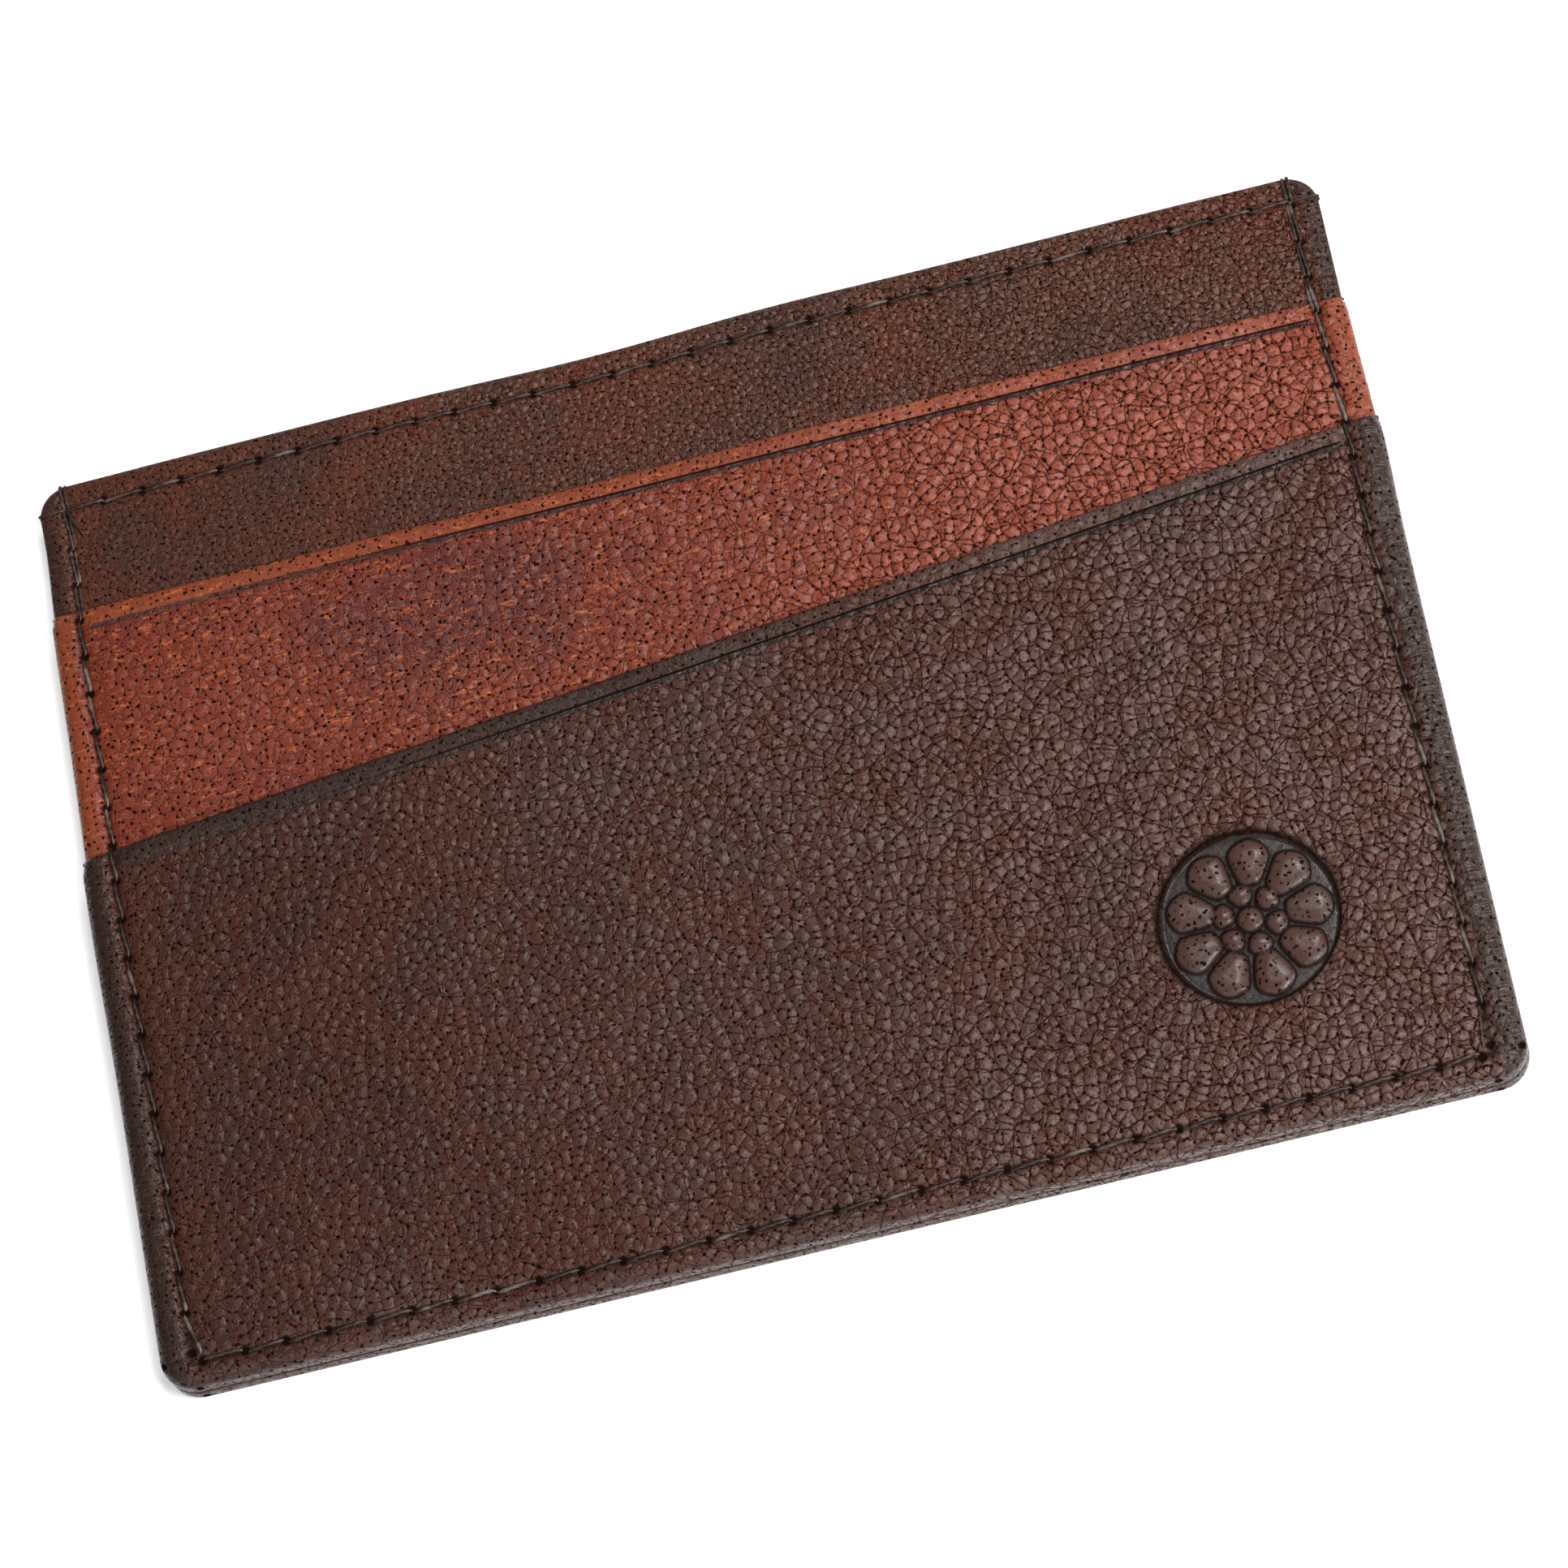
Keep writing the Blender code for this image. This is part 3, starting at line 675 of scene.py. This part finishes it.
# ---------------------------------------------------------------------------------------------
# Tan pocket: chestnut leather over the panel, turned round both sides. Its mouth is folded
# back inside, with a line creased just below the fold.
# ---------------------------------------------------------------------------------------------
TAN_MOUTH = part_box("front_tan_pocket")[1].y / MM
CREASE_DROP = 1.5
NO_CROSS_SEAM = -60.0
BOTTOM_PITCH = 2 * (SEAM_X - 0.75) / 30
tan_leather = leather(
    "chestnut_pocket_leather", ridge=(0.098, 0.014, 0.008, 1), valley=(0.080, 0.011, 0.006, 1),
    warm=(0.190, 0.034, 0.012, 1), painted_sheen=(0.250, 0.070, 0.045, 1), glow=(0.450, 0.120, 0.031, 1),
    cell=1.05, domed=0.11, pore_rate=1.65, seam_y=NO_CROSS_SEAM, pitch=HEM_PITCH, phase=0.0,
    crease=TAN_MOUTH - CREASE_DROP, warm_lip=0.7, smooth_left=0.55, crack_width=0.06, mottle=0.3,
    smoke=(0.062, 0.019, 0.019, 1), lip_tone=(0.170, 0.037, 0.013, 1), lip_share=0.7,
    stain=(-19.0, 17.5, 14.0))
TAN_TURN = Turn(roll=1.1, depth=0.8, height=1.28, fold=0.16)


class MouthFold:
    """Section of a pocket's mouth: the leather folds right back and its hem lies underneath."""

    HEM = 8.0
    POINTS = 33
    CREST_STEPS = 4

    def __init__(self, reach, height):
        half_turn = np.linspace(0, math.pi, self.POINTS)
        self.across = np.append(reach * np.sin(half_turn), reach - self.HEM)
        self.drop = np.append(height / 2 * (1 - np.cos(half_turn)), height)
        self.along = travelled(self.across, self.drop)
        self.reach, self.crest = reach, self.along[self.POINTS // 2]

    def stations(self):
        return stations(0, (self.crest, self.crest / self.CREST_STEPS),
                        (self.along[self.POINTS - 1], self.crest / 3), (self.along[-1], 2.7))

    def at(self, distance):
        across = np.interp(distance, self.along, self.across)
        return np.where(distance > 0, across, distance), np.interp(distance, self.along, self.drop)


TAN_FOLD = MouthFold(reach=0.24, height=0.48)


def mouth_rows(lower, count):
    """Mesh lines up a pocket's face: the lower ones level, the rest following its mouth."""
    rows = [("level", row) for row in lower]
    rows += [("share", share) for share in np.linspace(0, 1, count)[1:]]
    by_mouth = stations(MOUTH_BAND, (2.2, 0.3), (0.3, 0.12), (0.0, 0.1))
    return rows + [("below_mouth", drop) for drop in by_mouth[1:]]


def crease_relief(mouth, slope, seam_y, seed):
    """Relief of a pocket face: the creased line, the needle dents and a gentle unevenness."""
    def relief(x, y):
        above = y - mouth - slope * x + CREASE_DROP
        creased = 0.06 * bump(above, 0.75, 0.5) - 0.10 * bump(above, 0, 0.22)
        lift = creased * (1 - ramp(np.abs(x), SEAM_X - 1.2, SEAM_X - 0.3))
        lift += needle_pits(x, y, seam_y, BOTTOM_PITCH, 0.0)
        return lift + ripple(x, y, seed, wavelength=16, depth=0.05), unmarked(x)

    return relief


for side, half in HALVES:
    tan_low, tan_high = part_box(half + "_tan_pocket")
    tan_foot = tan_low.y / MM
    rows = mouth_rows(stations(tan_foot, (3.0, 1.5)), 40)
    piece = leather_piece(half + "_tan_pocket_leather", side, half + "_tan_pocket",
                          columns_for(TAN_TURN, tan_high.x / MM), rows, TAN_TURN, 0.32,
                          mouth=TAN_MOUTH, fold=TAN_FOLD, cut_edge=tan_foot,
                          relief=crease_relief(TAN_MOUTH, 0.0, NO_CROSS_SEAM, seed=21),
                          swatch=3.0 if side > 0 else 4.0)
    piece.data.materials.append(tan_leather)

# ---------------------------------------------------------------------------------------------
# Brown pocket: the outermost layer, turned round the sides and the bottom, with a mouth that
# rises to the right, folded and creased like the tan one. The front one is blind stamped.
# ---------------------------------------------------------------------------------------------
BROWN_MOUTH, BROWN_SLOPE = 10.35, 0.10
BROWN_HALF_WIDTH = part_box("front_brown_pocket")[1].x / MM
MARK_X, MARK_Y, MARK_RADIUS = 33.05, -20.55, 6.4
MARK_REACH, MARK_STEP = MARK_RADIUS + 0.5, 0.12
brown_leather = leather(
    "dark_brown_pocket_leather", ridge=(0.023, 0.009, 0.006, 1), valley=(0.042, 0.011, 0.006, 1),
    warm=(0.066, 0.016, 0.008, 1), painted_sheen=(0.092, 0.054, 0.045, 1), glow=(0.130, 0.038, 0.017, 1),
    cell=1.1, domed=0.12, pore_rate=1.7, seam_y=SEAM_Y, pitch=BOTTOM_PITCH, phase=0.0,
    crease=BROWN_MOUTH - CREASE_DROP, slope=BROWN_SLOPE, smooth_left=0.7, crack_width=0.068)
BROWN_TURN = Turn(roll=1.3, depth=1.0, height=2.07, fold=0.22)
BROWN_FOLD = MouthFold(reach=0.30, height=0.59)


def petals(radius, angle, count, inner, outer, gap):
    """Depth in millimetres inside the nearest of a ring of rounded petals, less than 0 outside."""
    sector = 2 * math.pi / count
    off_axis = np.abs((angle + sector / 2) % sector - sector / 2) * radius
    flank = sector / 2 * radius - gap / 2 - off_axis
    ends = np.minimum(outer - radius - 0.30 * off_axis ** 2, radius - inner - 0.15 * off_axis ** 2)
    rounding = 0.35
    return 0.5 * (flank + ends - np.hypot(flank - ends, rounding))


def rosette(x, y):
    """Blind stamp: a round pressed field, almost filled by two rings of puffy petals and a boss.

    Gives the lift in millimetres and the marks: the polished field, the painted shade of the outlines
    and the swollen leather of the petals. The painted shade round the rim is wider on its upper left.
    """
    across, up = x - MARK_X, y - MARK_Y
    radius, angle = np.hypot(across, up), np.arctan2(up, across)
    long_petals = petals(radius, angle, 9, 2.55, 6.05, 0.30)
    short_petals = petals(radius, angle + math.pi / 9, 6, 1.05, 2.75, 0.25)
    inside = np.maximum(np.maximum(long_petals, short_petals), 0.95 - radius)
    puffed = np.sqrt(np.clip(inside / 0.85, 0, 1))
    rim = radius - MARK_RADIUS
    field = 1 - ramp(rim, -0.14, 0.06)
    upper_left = 0.5 + 0.5 * np.cos(angle - math.radians(130))
    lift = field * (-0.28 + 0.33 * puffed) - 0.07 * bump(rim, 0.25, 0.35)
    # Painted shade: dark outlines at the feet of the petals and round the rim, wider on its upper left.
    outline = bump(inside, -0.04, 0.17) * field
    outline_shade = np.maximum(outline, bump(rim, 0.05 + 0.16 * upper_left, 0.16 + 0.24 * upper_left))
    polished = field * (1 - ramp(inside, -0.14, -0.02))
    swollen = field * (1 - polished)
    return lift, np.stack([polished, outline_shade, swollen], axis=-1)


def stamped(relief):
    """Adds the stamp to the relief of a face."""
    def both(x, y):
        lift, marks = relief(x, y)
        pressed, more = rosette(x, y)
        return lift + pressed, marks + more

    return both


for side, half in HALVES:
    relief = crease_relief(BROWN_MOUTH, BROWN_SLOPE, SEAM_Y, seed=31)
    columns = columns_for(BROWN_TURN, BROWN_HALF_WIDTH)
    lower = [(-33.0, 0.2), (-31, 0.35), (-8, 0.5)]
    if side > 0:
        relief = stamped(relief)
        columns = columns_for(BROWN_TURN, BROWN_HALF_WIDTH, middle=0.7,
                              detail=[(MARK_X - MARK_REACH, MARK_X + MARK_REACH, MARK_STEP)])
        lower[2:] = [(MARK_Y - MARK_REACH, 0.5), (MARK_Y + MARK_REACH, MARK_STEP), (-8, 0.7)]
    rows = mouth_rows(stations(cad_low.y / MM + BROWN_TURN.roll, *lower), 24)
    piece = leather_piece(half + "_brown_pocket_leather", side, half + "_brown_pocket", columns, rows,
                          BROWN_TURN, 0.43, mouth=BROWN_MOUTH, slope=BROWN_SLOPE, relief=relief,
                          fold=BROWN_FOLD, turned_end=True, swatch=5.0 if side > 0 else 6.0)
    piece.data.materials.append(brown_leather)

# ---------------------------------------------------------------------------------------------
# Linings: one thin woven cotton sheet in the centre pocket of each half, glued behind the panel,
# and one in the tan and one in the brown pocket, glued behind their leather below the hem.
# ---------------------------------------------------------------------------------------------
cloth = Finish("brown_woven_cotton", Roughness=0.9, Specular_IOR_Level=0.2)
thread_place = cloth.node("ShaderNodeTexCoord", output=3)
warp, weft = (cloth.node("ShaderNodeTexWave", {"bands_direction": direction},
                         {"Vector": thread_place, "Scale": 800.0, "Distortion": 1.0}) for direction in "XY")
weave = warp * weft
cloth_grey = cloth.noise(thread_place, 300.0, 3.0)
cloth_tone = cloth.mix(weave * 0.6 + cloth_grey * 0.4, (0.018, 0.012, 0.010, 1), (0.050, 0.036, 0.030, 1))
cloth.paint(Base_Color=cloth_tone, Normal=cloth.node(
    "ShaderNodeBump", {}, {"Strength": 0.6, "Distance": 0.00003, "Height": weave}))
LINING_THICKNESS = 0.08


def lining_sheet(node, side, slope=0.0, foot=False, head=False):
    """Flat sheet that fills the CAD node, pressed like the leather that it is glued to.

    foot and head say whether its lower and its upper corners are rounded.
    """
    low, high = (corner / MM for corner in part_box(node))
    rise = slope * high.x
    across, up = np.linspace(low.x, high.x, 61), np.linspace(0, 1, 41)
    x, share = np.meshgrid(across, up, indexing="ij")
    y = low.y + share * (high.y - rise + slope * x - low.y)
    for is_round, edge, radius in ((foot, low.y, 2.2), (head, high.y, 2.1)):
        x = cut_corners(x, y, edge, radius) if is_round else x
    sheets = [settle(x, y, np.full_like(x, face_level(node) - depth), side).reshape(-1, 3)
              for depth in (0.0, LINING_THICKNESS)]
    faces = shell_faces(np.ones((len(across) - 1, len(up) - 1), bool))
    if side < 0:
        faces = [polygon[::-1] for polygon in faces]
    mesh = bpy.data.meshes.new(node + "_cloth")
    mesh.from_pydata(np.concatenate(sheets).tolist(), [], faces)
    mesh.materials.append(cloth.material)
    sheet = visual_piece(node + "_cloth", mesh, node)


for side, half in HALVES:
    lining_sheet(half + "_panel_lining", side, foot=True, head=True)
    lining_sheet(half + "_tan_pocket_lining", side, foot=True)
    lining_sheet(half + "_brown_pocket_lining", side, slope=BROWN_SLOPE)

# ---------------------------------------------------------------------------------------------
# Stitching: three-ply dark brown thread. The seam runs over the top edge, down each side and
# along the bottom, is doubled below the upper corners and leaves one short loose end. The hem
# row holds the panel's turned top edge and goes round the side edges.
# ---------------------------------------------------------------------------------------------
thread_finish = Finish("waxed_brown_thread", Roughness=0.45, Specular_IOR_Level=0.35)
fibre_place = thread_finish.node("ShaderNodeTexCoord", output=3)
fibres = thread_finish.noise(fibre_place, 2500.0, 3.0)
wear_and_glint = thread_finish.noise(fibre_place, 350.0, 2.0)
thread_tone = thread_finish.mix(thread_finish.smooth(fibres, 0.35, 0.65),
                                (0.010, 0.004, 0.0025, 1), (0.050, 0.023, 0.015, 1))
# Wear darkens some of the thread; the light grey patches are painted highlights.
for start, stop, tone in ((0.40, 0.70, (0.010, 0.005, 0.0035, 1)), (0.46, 0.36, (0.085, 0.068, 0.058, 1))):
    thread_tone = thread_finish.mix(thread_finish.smooth(wear_and_glint, start, stop), thread_tone, tone)
thread_finish.paint(Base_Color=thread_tone, Normal=thread_finish.node(
    "ShaderNodeBump", {}, {"Strength": 0.7, "Distance": 0.00004, "Height": fibres}))


ON_PANEL, ON_TAN, ON_BROWN = (face_level("front_" + part) for part in ("panel", "tan_pocket", "brown_pocket"))
PLIES, PLY_LAY = 3, 2.25


def surface(x, y):
    """Level of the outermost leather at a place on the face."""
    on_tan = ramp(TAN_MOUTH - y, -0.3, 0.25)
    on_brown = ramp(BROWN_MOUTH + BROWN_SLOPE * x - y, -0.3, 0.25)
    return ON_PANEL + (ON_TAN - ON_PANEL) * on_tan + (ON_BROWN - ON_TAN) * on_brown


def stitches(holes, slant=0.12, shift=0.0, dip=0.42):
    """Points (x, y, height over the leather) of a thread through a row of needle holes."""
    points = []
    top, samples = 0.06, 24
    for a, b in zip(holes[:-1], holes[1:]):
        a, b = np.array(a), np.array(b)
        along = (b - a) / np.linalg.norm(b - a)
        aside = np.array([along[1], -along[0]])
        for t in np.linspace(0, 1, samples, endpoint=False):
            x, y = a + (b - a) * t + aside * (slant * math.cos(math.pi * t) + shift)
            points.append((x, y, top - dip * (1 - math.sin(math.pi * t)) ** 1.8))
    return points


def strand(path, side, radius=0.15):
    """Vertices and faces of a closed three-ply strand through points (x, y, level)."""
    centres = settle(*np.array(path).T, side) / MM
    tangents = np.gradient(centres, axis=0)
    tangents /= np.linalg.norm(tangents, axis=1, keepdims=True)
    turn = np.linspace(0, 2 * math.pi, 12, endpoint=False)
    normal = np.array([0.0, 0.0, side])
    rings = []
    for centre, tangent, distance in zip(centres, tangents, travelled(*centres.T)):
        normal = normal - tangent * (normal @ tangent)
        normal /= np.linalg.norm(normal)
        ply = radius * (1 + 0.17 * np.cos(PLIES * (turn - 2 * math.pi * distance / PLY_LAY)))
        rings.append(centre + np.outer(ply * np.cos(turn), normal)
                     + np.outer(ply * np.sin(turn), np.cross(tangent, normal)))
    vertices = np.concatenate(rings) * MM
    vertices[:, 2] = np.maximum(vertices[:, 2], 0.0)
    around, count = len(turn), len(rings)
    faces = []
    for i in range(count - 1):
        for j in range(around):
            following = (j + 1) % around
            faces.append([i * around + j, i * around + following,
                          (i + 1) * around + following, (i + 1) * around + j])
    return vertices, faces + [list(range(around))[::-1], list(range((count - 1) * around, count * around))]


def thread_piece(name, node, strands):
    """One object out of the strands of a CAD thread."""
    vertices, faces = [], []
    for points, polygons in strands:
        start = sum(len(block) for block in vertices)
        vertices.append(points)
        faces += [[index + start for index in polygon] for polygon in polygons]
    mesh = bpy.data.meshes.new(name)
    mesh.from_pydata(np.concatenate(vertices).tolist(), [], faces)
    mesh.materials.append(thread_finish.material)
    mesh.shade_smooth()
    visual_piece(name, mesh, node)


top_edge = cad_high.y / MM
side_holes = [SIDE_HOLE + SIDE_PITCH * k for k in range(-10, 11)]
bottom_holes = [(BOTTOM_PITCH * k, SEAM_Y + (0.25 if abs(k) == 15 else 0.0)) for k in range(-15, 16)]
seam_holes = [(-SEAM_X, HEM_Y)] + [(-SEAM_X, y) for y in reversed(side_holes)] + bottom_holes
seam_holes += [(SEAM_X, y) for y in side_holes] + [(SEAM_X, HEM_Y)]
hem_holes = [(-SEAM_X + HEM_PITCH * k, HEM_Y) for k in range(32)]
quarter_turn = np.linspace(0, math.pi / 2, 14)


def over_top(x, height):
    """The last stitch of a side seam, from the middle of the edge over the top to its needle hole."""
    low_level, high_level = 0.04, ON_PANEL + height
    roll = [(x, top_edge - 0.75 + (0.75 + height) * math.cos(a),
             low_level + (high_level - low_level) * math.sin(a))
            for a in quarter_turn]
    down = [(x, y, high_level - 0.35 * ramp(HEM_Y + 0.7 - y, 0, 0.7))
            for y in np.linspace(top_edge - 0.8, HEM_Y, 14)]
    return roll + down


for side, half in HALVES:
    seam = [(x, y, surface(x, y) + height) for x, y, height in stitches(seam_holes)]
    left, right = over_top(-SEAM_X - 0.1, 0.1), over_top(SEAM_X + 0.1, 0.1)
    strands = [strand(left + seam + right[::-1], side)]
    for sign in (-1, 1):
        doubled = [(sign * SEAM_X, y) for y in [HEM_Y] + side_holes[:-4:-1]]
        second = [(x, y, surface(x, y) + height)
                  for x, y, height in stitches(doubled, slant=0.05, shift=0.28 * sign)]
        strands.append(strand(over_top(sign * (SEAM_X - 0.25), 0.08) + second, side, radius=0.12))
    if side > 0:
        loose_end = [(-SEAM_X + 0.1 + t, HEM_Y - 2.4 * t ** 0.8,
                      ON_PANEL + 0.10 + 0.25 * math.sin(math.pi * t)) for t in np.linspace(0, 1, 14)]
        strands.append(strand(loose_end, side, radius=0.10))
    thread_piece(half + "_seam_stitching", half + "_seam_thread", strands)

    row = [(x, y, ON_PANEL + height) for x, y, height in stitches(hem_holes, slant=0.08)]
    edge_x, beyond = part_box(half + "_panel")[1].x / MM - PANEL_TURN.roll, PANEL_TURN.roll + 0.02
    low_level, high_level = 0.45, ON_PANEL + 0.05
    out = [(x, HEM_Y, high_level - 0.3 * ramp(SEAM_X + 0.4 - x, 0, 0.4))
           for x in np.linspace(SEAM_X, edge_x, 10, endpoint=False)]
    round_side = [(edge_x + beyond * math.sin(a), HEM_Y, low_level + (high_level - low_level) * math.cos(a))
                  for a in quarter_turn]
    right = out + round_side
    left = [(-x, y, level) for x, y, level in reversed(right)]
    strands = [strand(left + row + right, side, radius=0.13)]
    thread_piece(half + "_hem_stitching", half + "_hem_thread", strands)

    turned_level = ON_PANEL - PANEL_TURN.height
    row = [(x, y, turned_level - 0.05 - height) for x, y, height in stitches(hem_holes, slant=0.08, dip=0.16)]
    thread_piece(half + "_hem_inner_stitching", half + "_hem_inner_thread", [strand(row, side, radius=0.10)])
